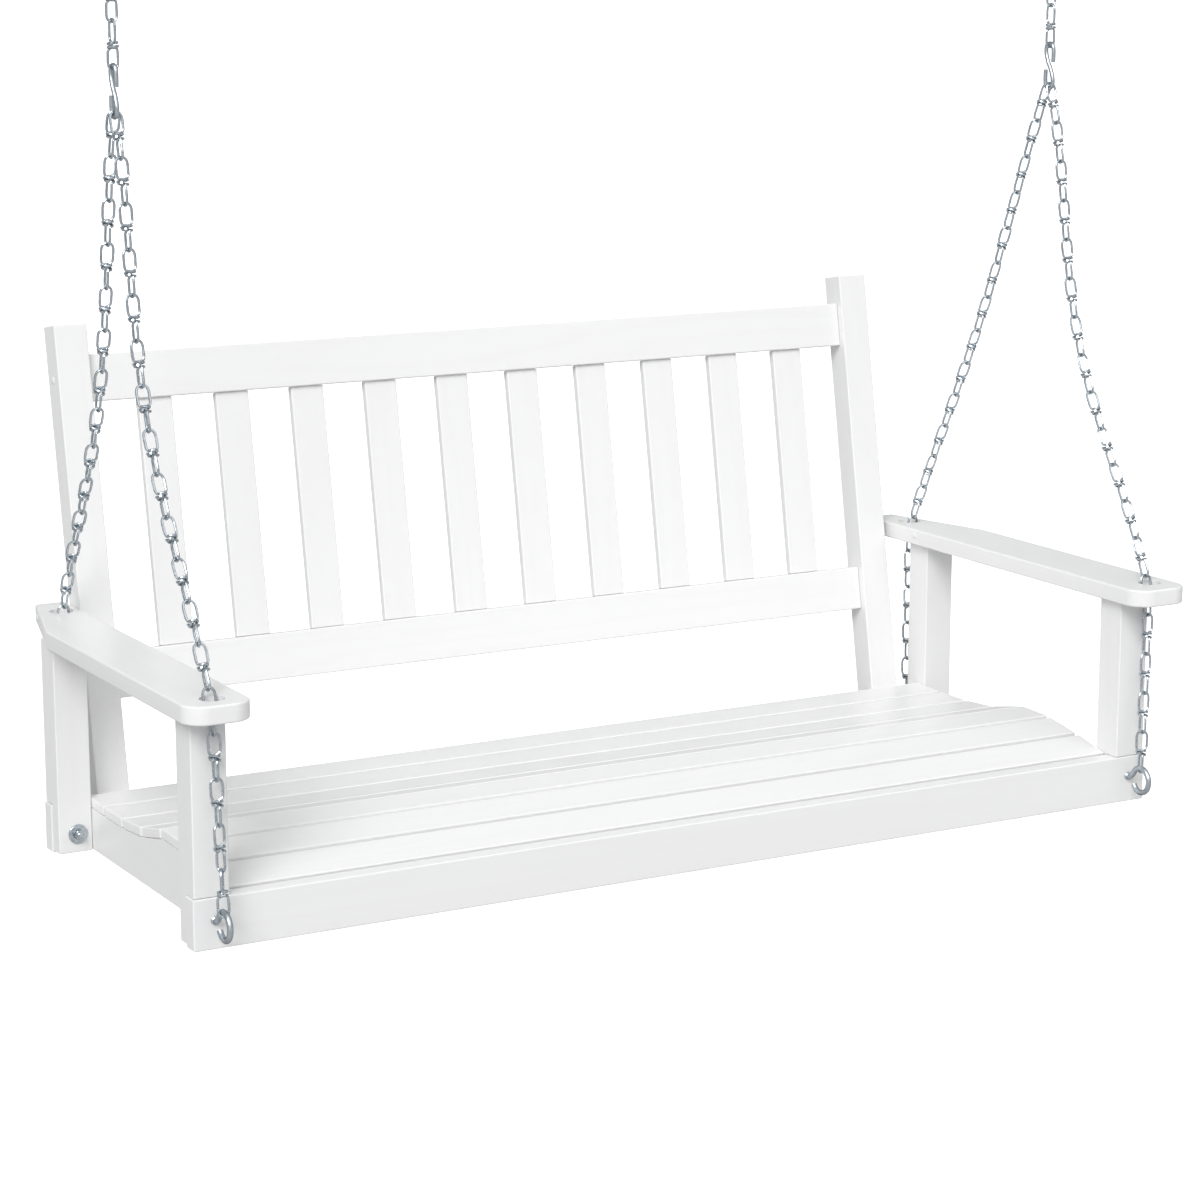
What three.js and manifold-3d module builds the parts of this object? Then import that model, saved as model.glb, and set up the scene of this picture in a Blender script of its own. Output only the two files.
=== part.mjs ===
// Wooden porch swing on chains, in millimetres, +Z up, -Y towards the sitter's feet.
// The bench is laid out from the front rail's bottom edge and the front face of the arm posts,
// then the whole swing is moved so that the point between its two ceiling plates is the origin.
import * as THREE from "three";
import { mergeVertices } from "three/addons/utils/BufferGeometryUtils.js";
import Module from "manifold-3d";

const wasm = await Module();
wasm.setup();

const gap = 0.3;
const cutPast = 1;

// Bench frame
const benchHalfWidth = 600;
const postSide = 39;
const benchDepth = 431.5;
const railHeight = 54.6;
const railThickness = 20.5;
const railLedge = 0.7;
const railOverhang = 1.5;
const postFoot = 2;
const sideRailThickness = 18.6;
const sideRailFoot = 3;

// Seat: heights of the front and rear top edge of each slat, from the front one to the rear one
const seatHeights = [
  [56.5, 67.5],
  [68.5, 76.5],
  [77.5, 78.5],
  [77, 66.5],
  [65, 61.5],
  [61, 61],
  [61, 62],
];
const seatFront = 22.5;
const seatSlatPitch = 55.9;
const seatSlatWidth = 50;
const seatSlatThickness = 11;

// Back
const backTilt = THREE.MathUtils.degToRad(9.92);
const backFoot = 415.7;
const backPostOuter = 541.7;
const backPostWidth = 38.8;
const backPostDepth = 34.4;
const backPostLength = 583.9;
const backPostBottom = 4;
const backRailRecess = 9;
const backRailThickness = 19;
const topRail = [496.2, 549.5];
const lowerRail = [160.6, 213.7];
const backSlatCount = 10;
const backSlatPitch = 94.3;
const backSlatWidth = 41;
const backSlatThickness = 10;

// Arms: distances of their edges and chain holes from the middle of the bench. Both arms sit a
// little to the right on their posts. The outer edge draws in from the shoulder to the rear end.
const armBottom = 242;
const armThickness = 20;
const arms = {
  left: { inner: 542.3, outer: 615.5, front: -37.5, holes: { front: [578, -6.5], rear: [563.5, 462] } },
  right: { inner: 550, outer: 626.5, front: -45, holes: { front: [596, -6], rear: [578.5, 459] } },
};
const armRear = 512;
const armShoulder = 366;
const armDrawIn = 39;
const armCornerRadius = 24;
const armCornerSteps = 5;
const armHoleRadius = 13.2;

// Hook bolts, washers and nuts
const hookX = 578;
const hookHeights = { front: 31, rear: 23.5 };
const hookWire = 3;
const hookRingRadius = 14.5;
const hookRingReach = 25;
const hookTurns = [138, -148];
const shankBend = [
  [-2, 0],
  [4, 0],
  [9, 3],
];
const boltEnd = 51;
const railBore = 4.6;
const postBore = 3.5;
const washerRadius = 11;
const washerThickness = 1.6;
const nutAcrossFlats = 10;
const nutThickness = 5;

// Chains and what they hang from
const chainX = 584;
const chainY = 197;
const chainWire = 3;
const chainFusion = 0.8;
const linkWidth = 13;
const linkShoulder = 0.6;
const linkFlatOuter = 0.25;
const linkFlatInner = 0.22;
const branchLinks = 17;
const branchSpacing = 4.3;
const branchSag = {
  left: { front: 50, rear: 40 },
  right: { front: 40.5, rear: 11 },
};
const sagSteps = 12;
const upperLinks = 4;
const sHookWire = 2.5;
const sHookBend = 7;
const sHookLowerBend = 829.5;
const sHookUpperBend = 867.5;
const sHookEnd = 14.5;
const sHookWaist = 6;
const ceilingHeight = 1117.2;
const plateSize = [70, 50, 5];
const plateHoleRadius = 3;
const plateHoleInset = 8;
const eyeWire = 3.5;
const eyeRadius = 14;
const eyeDrop = 28;
const topLinkWire = 5;
const topLinkWidth = 22;
const topLinkSpan = 34;

const paint = { color: 0xf2f2f0, roughness: 0.35, metalness: 0 };
const zinc = { color: 0xb4bcc2, roughness: 0.35, metalness: 0.9 };

const porchSwing = new THREE.Group();
porchSwing.name = "porch_swing";
porchSwing.position.set(0, -chainY, -ceilingHeight);

function addPart(name, geometry, material, parent = porchSwing) {
  const mesh = new THREE.Mesh(geometry, new THREE.MeshStandardMaterial(material));
  mesh.name = name;
  parent.add(mesh);
  return mesh;
}

// A closed geometry as a manifold-3d solid, and back again.
function solidOf(geometry) {
  const plain = geometry.clone();
  plain.deleteAttribute("normal");
  plain.deleteAttribute("uv");
  const welded = mergeVertices(plain, 1e-4);
  return new wasm.Manifold(
    new wasm.Mesh({
      numProp: 3,
      vertProperties: welded.attributes.position.array,
      triVerts: new Uint32Array(welded.index.array),
    }),
  );
}

function geometryOf(solid) {
  const mesh = solid.getMesh();
  const geometry = new THREE.BufferGeometry();
  geometry.setAttribute("position", new THREE.BufferAttribute(mesh.vertProperties, 3));
  geometry.setIndex(new THREE.BufferAttribute(mesh.triVerts, 1));
  return geometry;
}

function cut(geometry, cutters) {
  return geometryOf(cutters.reduce((solid, cutter) => solid.subtract(solidOf(cutter)), solidOf(geometry)));
}

function fuse(geometries) {
  return geometryOf(geometries.map(solidOf).reduce((solid, other) => solid.add(other)));
}

function outline(points) {
  return new THREE.Shape(points.map(([x, y]) => new THREE.Vector2(x, y)));
}

// A side profile of [y, z] points, carried along X from one place to another.
function boardAcross(profile, fromX, toX) {
  const board = new THREE.ExtrudeGeometry(outline(profile), { depth: toX - fromX, bevelEnabled: false });
  const standing = new THREE.Matrix4().makeBasis(
    new THREE.Vector3(0, 1, 0),
    new THREE.Vector3(0, 0, 1),
    new THREE.Vector3(1, 0, 0),
  );
  return board.applyMatrix4(standing).translate(fromX, 0, 0);
}

function cylinderAlongY(radius, fromY, toY, x, z, sides = 16) {
  const cylinder = new THREE.CylinderGeometry(radius, radius, toY - fromY, sides);
  return cylinder.translate(x, (fromY + toY) / 2, z);
}

// Bends are divided finely enough for a wire to clear the links that hang on it.
const wireSides = 8;
const hookSteps = 30;
const sHookSteps = 36;
const eyeSteps = 20;
const hookArcPoints = 15;
const sHookArcPoints = 7;
const eyeArcPoints = 9;

// A round bar bent along points.
function wireThrough(points, radius, steps) {
  const section = outline(
    Array.from({ length: wireSides }, (_, i) => {
      const turn = (i * 2 * Math.PI) / wireSides;
      return [radius * Math.cos(turn), radius * Math.sin(turn)];
    }),
  );
  return new THREE.ExtrudeGeometry(section, { steps, extrudePath: new THREE.CatmullRomCurve3(points) });
}

// Points on an arc in a plane of constant X, with the angle counted from -Y towards +Z.
function arcPoints(x, centreY, centreZ, radius, fromDegrees, toDegrees, count) {
  return Array.from({ length: count }, (_, i) => {
    const turn = THREE.MathUtils.degToRad(fromDegrees + ((toDegrees - fromDegrees) * i) / (count - 1));
    return new THREE.Vector3(x, centreY - radius * Math.cos(turn), centreZ + radius * Math.sin(turn));
  });
}

// Front and rear are mirror images about the middle of the bench's depth.
function atEnd(end, y) {
  return end === "front" ? y : benchDepth - y;
}

function span(end, a, b) {
  return [atEnd(end, a), atEnd(end, b)].sort((p, q) => p - q);
}

function addCrossRail(end) {
  const [nearY, farY] = span(end, -railLedge, railThickness - railLedge);
  const half = benchHalfWidth + railOverhang;
  const rail = new THREE.BoxGeometry(2 * half, farY - nearY, railHeight);
  rail.translate(0, (nearY + farY) / 2, railHeight / 2);
  const height = hookHeights[end];
  const bores = [-hookX, hookX].map((x) => cylinderAlongY(railBore, nearY - cutPast, farY + cutPast, x, height));
  addPart(`${end}_rail`, cut(rail, bores), paint);
}

function addArmPost(end, side, sign) {
  const shoulder = railHeight + gap;
  const backOfRail = railThickness - railLedge + gap;
  const top = armBottom - gap;
  const profile = [
    [backOfRail, postFoot],
    [postSide, postFoot],
    [postSide, top],
    [0, top],
    [0, shoulder],
    [backOfRail, shoulder],
  ].map(([y, z]) => [atEnd(end, y), z]);
  if (end === "rear") profile.reverse();
  const inner = benchHalfWidth - postSide;
  const [fromX, toX] = sign > 0 ? [inner, benchHalfWidth] : [-benchHalfWidth, -inner];
  const [nearY, farY] = span(end, backOfRail - cutPast, postSide + cutPast);
  const bore = cylinderAlongY(postBore, nearY, farY, sign * hookX, hookHeights[end]);
  addPart(`${end}_arm_post_${side}`, cut(boardAcross(profile, fromX, toX), [bore]), paint);
}

function seatSlatEdges(i) {
  const frontY = seatFront + i * seatSlatPitch;
  const [frontZ, rearZ] = seatHeights[i];
  const run = Math.sqrt(seatSlatWidth ** 2 - (rearZ - frontZ) ** 2);
  return { frontY, frontZ, rearY: frontY + run, rearZ };
}

function addSeatSlat(i) {
  const { frontY, frontZ, rearY, rearZ } = seatSlatEdges(i);
  const slope = Math.atan2(rearZ - frontZ, rearY - frontY);
  const length = 2 * (benchHalfWidth - postSide - gap);
  const slat = new THREE.BoxGeometry(length, seatSlatWidth, seatSlatThickness);
  const mesh = addPart(`seat_slat_${i + 1}`, slat, paint);
  mesh.rotation.x = slope;
  mesh.position.set(
    0,
    (frontY + rearY) / 2 + (seatSlatThickness / 2) * Math.sin(slope),
    (frontZ + rearZ) / 2 - (seatSlatThickness / 2) * Math.cos(slope),
  );
}

// The contoured boards under the slats, from the front rail to the rear rail.
function seatBearerProfile() {
  const frontY = railThickness - railLedge + gap;
  const rearY = benchDepth - frontY;
  const bearing = seatHeights.flatMap((_, i) => {
    const slat = seatSlatEdges(i);
    const slope = Math.atan2(slat.rearZ - slat.frontZ, slat.rearY - slat.frontY);
    const drop = seatSlatThickness + gap;
    return [
      [slat.frontY + drop * Math.sin(slope), slat.frontZ - drop * Math.cos(slope)],
      [slat.rearY + drop * Math.sin(slope), slat.rearZ - drop * Math.cos(slope)],
    ];
  });
  const first = bearing[0];
  const last = bearing[bearing.length - 1];
  return [
    [frontY, sideRailFoot],
    [rearY, sideRailFoot],
    [rearY, last[1]],
    ...bearing.reverse(),
    [frontY, first[1]],
  ];
}

function addSeatBearers() {
  const profile = seatBearerProfile();
  const outer = benchHalfWidth - postSide - gap;
  addPart("side_rail_right", boardAcross(profile, outer - sideRailThickness, outer), paint);
  addPart("side_rail_left", boardAcross(profile, -outer, -outer + sideRailThickness), paint);
  addPart("centre_seat_support", boardAcross(profile, -sideRailThickness / 2, sideRailThickness / 2), paint);
}

// A post leans back, stands on the rear rail with a shoulder and laps down behind it.
function addBackPost(side, sign) {
  const lean = (z) => backFoot + z * Math.tan(backTilt);
  const depth = backPostDepth / Math.cos(backTilt);
  const behindRail = benchDepth + railLedge + gap;
  const shoulder = railHeight + gap;
  const up = [Math.sin(backTilt), Math.cos(backTilt)];
  const topFront = [backFoot + backPostLength * up[0], backPostLength * up[1]];
  const topRear = [topFront[0] + backPostDepth * up[1], topFront[1] - backPostDepth * up[0]];
  const profile = [
    [behindRail, backPostBottom],
    [lean(backPostBottom) + depth, backPostBottom],
    topRear,
    topFront,
    [lean(shoulder), shoulder],
    [behindRail, shoulder],
  ];
  const inner = backPostOuter - backPostWidth;
  const [fromX, toX] = sign > 0 ? [inner, backPostOuter] : [-backPostOuter, -inner];
  addPart(`back_post_${side}`, boardAcross(profile, fromX, toX), paint);
}

function addBackPanel() {
  const panel = new THREE.Group();
  panel.position.set(0, backFoot, 0);
  panel.rotation.x = -backTilt;
  porchSwing.add(panel);
  const railLength = 2 * (backPostOuter - backPostWidth - gap);
  const middle = backRailRecess + backRailThickness / 2;
  const rails = { back_top_rail: topRail, back_lower_rail: lowerRail };
  for (const [name, [low, high]] of Object.entries(rails)) {
    const rail = new THREE.BoxGeometry(railLength, backRailThickness, high - low);
    addPart(name, rail, paint, panel).position.set(0, middle, (low + high) / 2);
  }
  const slatLength = topRail[0] - lowerRail[1] - 2 * gap;
  for (let i = 0; i < backSlatCount; i++) {
    const slat = new THREE.BoxGeometry(backSlatWidth, backSlatThickness, slatLength);
    const x = (i - (backSlatCount - 1) / 2) * backSlatPitch;
    addPart(`back_slat_${i + 1}`, slat, paint, panel).position.set(x, middle, (topRail[0] + lowerRail[1]) / 2);
  }
}

function armOutline({ inner, outer, front, holes }, sign) {
  const shape = new THREE.Shape();
  const radius = armCornerRadius;
  shape.moveTo(outer - armDrawIn, armRear);
  shape.lineTo(inner, armRear);
  shape.absarc(inner + radius, front + radius, radius, Math.PI, 1.5 * Math.PI);
  shape.absarc(outer - radius, front + radius, radius, 1.5 * Math.PI, 2 * Math.PI);
  shape.lineTo(outer, armShoulder);
  const arm = outline(shape.getPoints(armCornerSteps).map(({ x, y }) => [sign * x, y]));
  for (const [x, y] of Object.values(holes)) {
    arm.holes.push(new THREE.Path().absarc(sign * x, y, armHoleRadius, 0, 2 * Math.PI));
  }
  return arm;
}

function addArm(side, sign) {
  const arm = new THREE.ExtrudeGeometry(armOutline(arms[side], sign), {
    depth: armThickness,
    bevelEnabled: false,
    curveSegments: 10,
  });
  addPart(`arm_${side}`, arm.translate(0, 0, armBottom), paint);
}

// The shank runs through rail and post, then turns up into an open ring that holds the chain.
function addHookBolt(end, side, sign) {
  const x = sign * hookX;
  const height = hookHeights[end];
  const path = [
    new THREE.Vector3(x, boltEnd, height),
    new THREE.Vector3(x, boltEnd / 2, height),
    ...shankBend.map(([forward, rise]) => new THREE.Vector3(x, -forward, height + rise)),
    ...arcPoints(x, -hookRingReach, height, hookRingRadius, ...hookTurns, hookArcPoints),
  ];
  const hook = wireThrough(path, hookWire, hookSteps);
  const mesh = addPart(`${end}_hook_bolt_${side}`, hook, zinc);
  if (end === "rear") {
    mesh.scale.y = -1;
    mesh.position.y = benchDepth;
  }
}

function ringBlank(outer, holeRadius, thickness) {
  outer.holes.push(new THREE.Path().absarc(0, 0, holeRadius, 0, 2 * Math.PI));
  const blank = new THREE.ExtrudeGeometry(outer, { depth: thickness, bevelEnabled: false, curveSegments: 8 });
  return blank.rotateX(Math.PI / 2).translate(0, thickness, 0);
}

function addWasherAndNut(end, side, sign) {
  const disc = new THREE.Shape().absarc(0, 0, washerRadius, 0, 2 * Math.PI);
  const hexagon = outline(
    Array.from({ length: 6 }, (_, i) => {
      const turn = (i * Math.PI) / 3;
      const corner = nutAcrossFlats / Math.sqrt(3);
      return [corner * Math.cos(turn), corner * Math.sin(turn)];
    }),
  );
  const holeRadius = hookWire + gap;
  const stack = [
    [`${end}_washer_${side}`, ringBlank(disc, holeRadius, washerThickness), washerThickness],
    [`${end}_nut_${side}`, ringBlank(hexagon, holeRadius, nutThickness), nutThickness],
  ];
  let y = postSide + gap;
  for (const [name, geometry, thickness] of stack) {
    const nearY = span(end, y, y + thickness)[0];
    addPart(name, geometry, zinc).position.set(sign * hookX, nearY, hookHeights[end]);
    y += thickness + gap;
  }
}

// One flat oval link, its long axis from top to bottom, lying across or along the bench.
function chainLink(top, bottom, width, wire, across) {
  const halfLength = top.distanceTo(bottom) / 2 + wire / 2;
  const stadium = (half, wide, flat) => {
    const shoulder = half - wide * linkShoulder;
    return [
      [flat, -half],
      [wide, -shoulder],
      [wide, shoulder],
      [flat, half],
      [-flat, half],
      [-wide, shoulder],
      [-wide, -shoulder],
      [-flat, -half],
    ];
  };
  const shape = outline(stadium(halfLength, width / 2, width * linkFlatOuter));
  shape.holes.push(outline(stadium(halfLength - wire, width / 2 - wire, width * linkFlatInner)));
  const link = new THREE.ExtrudeGeometry(shape, { depth: wire, bevelEnabled: false }).translate(0, 0, -wire / 2);
  const along = new THREE.Vector3().subVectors(top, bottom).normalize();
  const sideways = new THREE.Vector3(1, 0, 0);
  const forward = new THREE.Vector3().crossVectors(sideways, along);
  const frame = across
    ? new THREE.Matrix4().makeBasis(sideways, along, forward)
    : new THREE.Matrix4().makeBasis(forward.negate(), along, sideways);
  const middle = new THREE.Vector3().addVectors(top, bottom).multiplyScalar(0.5);
  return link.applyMatrix4(frame).translate(middle.x, middle.y, middle.z);
}

function pointAlong(path, distance) {
  let left = distance;
  for (let i = 1; i < path.length; i++) {
    const length = path[i].distanceTo(path[i - 1]);
    if (left <= length || i === path.length - 1) {
      return path[i - 1].clone().lerp(path[i], left / length);
    }
    left -= length;
  }
  return path[path.length - 1].clone();
}

// Links of one chain, joined into one solid where each hangs in the next.
function chainAlong(path, count, firstAcross) {
  const total = path.slice(1).reduce((sum, point, i) => sum + point.distanceTo(path[i]), 0);
  const nesting = chainWire - chainFusion;
  const linkSpan = (total + (count - 1) * nesting) / count;
  const links = Array.from({ length: count }, (_, i) => {
    const start = i * (linkSpan - nesting);
    const across = firstAcross === (i % 2 === 0);
    return chainLink(pointAlong(path, start), pointAlong(path, start + linkSpan), linkWidth, chainWire, across);
  });
  return fuse(links);
}

// The branch chains of the empty bench hang slack, so each sags inwards between its two ends.
function addBranchChain(end, side, sign) {
  const [holeX, holeY] = arms[side].holes[end];
  const hole = new THREE.Vector3(sign * holeX, holeY, armBottom + armThickness / 2);
  const ring = new THREE.Vector3(sign * hookX, atEnd(end, -hookRingReach), hookHeights[end]);
  const crown = ring.clone().addScaledVector(hole.clone().sub(ring).setX(0).normalize(), hookRingRadius);
  const belowCrown = hookWire + chainWire / 2 + gap;
  const towards = end === "front" ? -1 : 1;
  const beside = branchSpacing / 2;
  const seatInBend = sHookBend - sHookWire - chainWire / 2 - 2 * gap;
  const start = new THREE.Vector3(
    sign * chainX,
    chainY + towards * beside,
    sHookLowerBend - Math.sqrt(seatInBend ** 2 - beside ** 2),
  );
  const finish = crown.clone().addScaledVector(crown.clone().sub(hole).normalize(), belowCrown);
  const chord = hole.clone().sub(start).normalize();
  const inwards = new THREE.Vector3(0, towards * chord.z, -towards * chord.y);
  const slack = Array.from({ length: sagSteps - 1 }, (_, i) => {
    const share = (i + 1) / sagSteps;
    const bow = branchSag[side][end] * Math.sin(Math.PI * share) ** 2;
    return start.clone().lerp(hole, share).addScaledVector(inwards, bow);
  });
  const path = [start, ...slack, hole, finish];
  addPart(`${end}_chain_${side}`, chainAlong(path, branchLinks, true), zinc);
}

// The upper bend opens towards the front and the lower one towards the rear.
function addSHook(side, sign) {
  const x = sign * chainX;
  const waist = (sHookLowerBend + sHookUpperBend) / 2;
  const path = [
    new THREE.Vector3(x, chainY - sHookBend, sHookUpperBend - sHookEnd),
    ...arcPoints(x, chainY, sHookUpperBend, sHookBend, 0, 180, sHookArcPoints),
    new THREE.Vector3(x, chainY + sHookBend / 2, waist + sHookWaist),
    new THREE.Vector3(x, chainY - sHookBend / 2, waist - sHookWaist),
    ...arcPoints(x, chainY, sHookLowerBend, sHookBend, 0, -180, sHookArcPoints),
    new THREE.Vector3(x, chainY + sHookBend, sHookLowerBend + sHookEnd),
  ];
  addPart(`s_hook_${side}`, wireThrough(path, sHookWire, sHookSteps), zinc);
}

const eyeBottom = ceilingHeight - plateSize[2] - eyeDrop;
const topLinkTop = eyeBottom + eyeWire + topLinkWire / Math.SQRT2 + gap;
const topLinkBottom = topLinkTop - topLinkSpan;

function addUpperChain(side, sign) {
  const clearance = chainWire / 2 + gap;
  const top = new THREE.Vector3(sign * chainX, chainY, topLinkBottom + topLinkWire / 2 + clearance);
  const hookTop = sHookUpperBend + sHookBend;
  const bottom = new THREE.Vector3(sign * chainX, chainY, hookTop - sHookWire - clearance);
  addPart(`upper_chain_${side}`, chainAlong([top, bottom], upperLinks, false), zinc);
}

function addTopLink(side, sign) {
  const top = new THREE.Vector3(sign * chainX, chainY, topLinkTop);
  const bottom = new THREE.Vector3(sign * chainX, chainY, topLinkBottom);
  addPart(`top_link_${side}`, chainLink(top, bottom, topLinkWidth, topLinkWire, true), zinc);
}

function addCeilingPlate(side, sign) {
  const [length, depth, thickness] = plateSize;
  const holeX = length / 2 - plateHoleInset;
  const holeY = depth / 2 - plateHoleInset;
  const shape = outline([
    [-length / 2, -depth / 2],
    [length / 2, -depth / 2],
    [length / 2, depth / 2],
    [-length / 2, depth / 2],
  ]);
  for (const [x, y] of [[holeX, holeY], [-holeX, holeY], [-holeX, -holeY], [holeX, -holeY]]) {
    shape.holes.push(new THREE.Path().absarc(x, y, plateHoleRadius, 0, 2 * Math.PI));
  }
  const plate = new THREE.ExtrudeGeometry(shape, { depth: thickness, bevelEnabled: false, curveSegments: 6 });
  plate.translate(sign * chainX, chainY, ceilingHeight - thickness);
  const eyeTop = ceilingHeight - thickness / 2;
  const x = sign * chainX;
  const bend = arcPoints(x, chainY, eyeBottom + eyeRadius, eyeRadius, 0, -180, eyeArcPoints);
  const eye = [
    new THREE.Vector3(x, chainY - eyeRadius, eyeTop),
    ...bend,
    new THREE.Vector3(x, chainY + eyeRadius, eyeTop),
  ];
  addPart(`ceiling_plate_${side}`, fuse([plate, wireThrough(eye, eyeWire, eyeSteps)]), zinc);
}

addCrossRail("front");
addCrossRail("rear");
addSeatBearers();
seatHeights.forEach((_, i) => addSeatSlat(i));
addBackPanel();
for (const [side, sign] of [["left", -1], ["right", 1]]) {
  addBackPost(side, sign);
  addArm(side, sign);
  for (const end of ["front", "rear"]) {
    addArmPost(end, side, sign);
    addHookBolt(end, side, sign);
    addWasherAndNut(end, side, sign);
    addBranchChain(end, side, sign);
  }
  addSHook(side, sign);
  addUpperChain(side, sign);
  addTopLink(side, sign);
  addCeilingPlate(side, sign);
}

export default porchSwing;
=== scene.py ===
"""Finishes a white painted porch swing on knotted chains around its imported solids."""

import math
import random

import bmesh
import bpy
from bpy.props import FloatProperty, FloatVectorProperty, PointerProperty
from mathutils import Matrix, Vector


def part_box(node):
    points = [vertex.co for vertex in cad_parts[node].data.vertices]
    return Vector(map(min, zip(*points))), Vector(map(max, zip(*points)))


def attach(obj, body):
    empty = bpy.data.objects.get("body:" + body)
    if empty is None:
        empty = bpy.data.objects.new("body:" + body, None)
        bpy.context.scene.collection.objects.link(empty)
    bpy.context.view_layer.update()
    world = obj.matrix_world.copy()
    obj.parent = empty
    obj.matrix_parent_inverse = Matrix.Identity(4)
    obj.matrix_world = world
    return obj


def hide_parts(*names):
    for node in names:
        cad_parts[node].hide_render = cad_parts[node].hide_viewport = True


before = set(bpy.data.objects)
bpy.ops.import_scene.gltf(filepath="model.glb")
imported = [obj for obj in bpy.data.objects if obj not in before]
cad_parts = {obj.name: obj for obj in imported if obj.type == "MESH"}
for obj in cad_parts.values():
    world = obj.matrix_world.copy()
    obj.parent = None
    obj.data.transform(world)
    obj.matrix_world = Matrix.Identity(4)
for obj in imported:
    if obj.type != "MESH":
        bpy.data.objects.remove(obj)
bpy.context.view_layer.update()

bl_info = {
    "name": "Porch Swing",
    "version": (1, 0, 0),
    "blender": (4, 5, 0),
    "location": "View3D > Sidebar > Porch Swing",
    "description": "Painted boards, knotted chains, hooks and fittings of a hanging bench",
    "category": "Add Mesh",
}

MM = 0.001
WELD = 2e-5
TOUCH = 1e-6
FLAT = math.radians(0.5)
ROUNDED = math.radians(35)
CREASE = math.radians(40)
SIDES = (("left", -1), ("right", 1))
ENDS = ("front", "rear")
BENCH_DEPTH = 431.5
BACK_TILT = math.radians(9.92)
UP = Vector((0, 0, 1))
ACROSS = Vector((1, 0, 0))
ALONG = Vector((0, 1, 0))
LEAN = Vector((0, math.sin(BACK_TILT), math.cos(BACK_TILT)))


def at(x, y, z):
    """A point of the bench's own drawing, in millimetres, placed in the shared frame."""
    return Vector((x, y - 197.0, z - 1117.2)) * MM


def end_y(end, y):
    """Front and rear fittings mirror each other about the middle of the bench's depth."""
    return y if end == "front" else BENCH_DEPTH - y


# ---------------------------------------------------------------- settings


class BoardSettings(bpy.types.PropertyGroup):
    """Sizes and paint of the wooden boards."""

    edge: FloatProperty(
        name="Edge Rounding",
        description="How far the long edges of a board are rounded over",
        default=1.5 * MM,
        unit="LENGTH",
    )
    arm_edge: FloatProperty(
        name="Arm Edge Rounding",
        description="Rounding along the edges of the arms",
        default=2.2 * MM,
        unit="LENGTH",
    )
    bore_edge: FloatProperty(
        name="Bore Edge Rounding",
        description="Rounding at the rim of a bolt bore or chain hole",
        default=0.8 * MM,
        unit="LENGTH",
    )
    paint: FloatVectorProperty(
        name="Paint",
        description="Colour of the satin paint",
        default=(0.84, 0.84, 0.835),
        subtype="COLOR",
        size=3,
    )
    paint_roughness: FloatProperty(
        name="Paint Roughness",
        description="Roughness of the satin paint",
        default=0.34,
        subtype="FACTOR",
    )
    cap_diameter: FloatProperty(
        name="Screw Cap Diameter",
        description="Diameter of the caps over the screws",
        default=8.0 * MM,
        unit="LENGTH",
    )


class ChainSettings(bpy.types.PropertyGroup):
    """Sizes and finish of the chains, hooks and fittings."""

    wire: FloatProperty(
        name="Chain Wire",
        description="Diameter of the chain's wire",
        default=2.85 * MM,
        unit="LENGTH",
    )
    hook_wire: FloatProperty(
        name="Hook Wire",
        description="Diameter of the hook bolts",
        default=6.6 * MM,
        unit="LENGTH",
    )
    s_hook_wire: FloatProperty(
        name="S-Hook Wire",
        description="Diameter of the S-hooks",
        default=5.0 * MM,
        unit="LENGTH",
    )
    zinc: FloatVectorProperty(
        name="Zinc",
        description="Colour of the zinc plating",
        default=(0.50, 0.55, 0.59),
        subtype="COLOR",
        size=3,
    )
    zinc_roughness: FloatProperty(
        name="Zinc Roughness",
        description="Mean roughness of the zinc plating",
        default=0.27,
        subtype="FACTOR",
    )


class StageSettings(bpy.types.PropertyGroup):
    """Floor and light."""

    floor: FloatVectorProperty(
        name="Floor",
        description="Colour of the floor",
        default=(0.5, 0.5, 0.5),
        subtype="COLOR",
        size=3,
    )
    drop: FloatProperty(
        name="Floor Depth",
        description="Height of the floor below the ceiling plates",
        default=1.56,
        unit="LENGTH",
    )
    sky: FloatProperty(
        name="Sky Strength",
        description="Strength of the even light from all round",
        default=0.42,
    )
    key: FloatProperty(
        name="Key Light",
        description="Strength of the light from the upper left",
        default=1.85,
    )
    fill: FloatProperty(
        name="Fill Light",
        description="Strength of the broad light from the front",
        default=1.05,
    )


# ---------------------------------------------------------------- shader groups


def new_group(name, inputs, outputs):
    """An empty shader group with its named sockets, and its two end nodes."""
    group = bpy.data.node_groups.new(name, "ShaderNodeTree")
    for label, kind, default in inputs:
        socket = group.interface.new_socket(label, in_out="INPUT", socket_type=kind)
        if default is not None:
            socket.default_value = default
    for label, kind in outputs:
        group.interface.new_socket(label, in_out="OUTPUT", socket_type=kind)
    start = group.nodes.new("NodeGroupInput")
    finish = group.nodes.new("NodeGroupOutput")
    return group, start, finish


def join_inputs(tree, node, links):
    """Joins a node's inputs to sockets, or sets them to values, from (name or number, source) pairs."""
    for socket, source in links:
        if isinstance(source, bpy.types.NodeSocket):
            tree.links.new(source, node.inputs[socket])
        else:
            node.inputs[socket].default_value = source


def add_node(tree, kind, links=(), **settings):
    """A new node with its settings and its inputs joined."""
    node = tree.nodes.new(kind)
    for name, value in settings.items():
        setattr(node, name, value)
    join_inputs(tree, node, links)
    return node


def math_node(tree, operation, *values):
    """The result of one sum over sockets or numbers."""
    return add_node(tree, "ShaderNodeMath", list(enumerate(values)), operation=operation).outputs[0]


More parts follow.
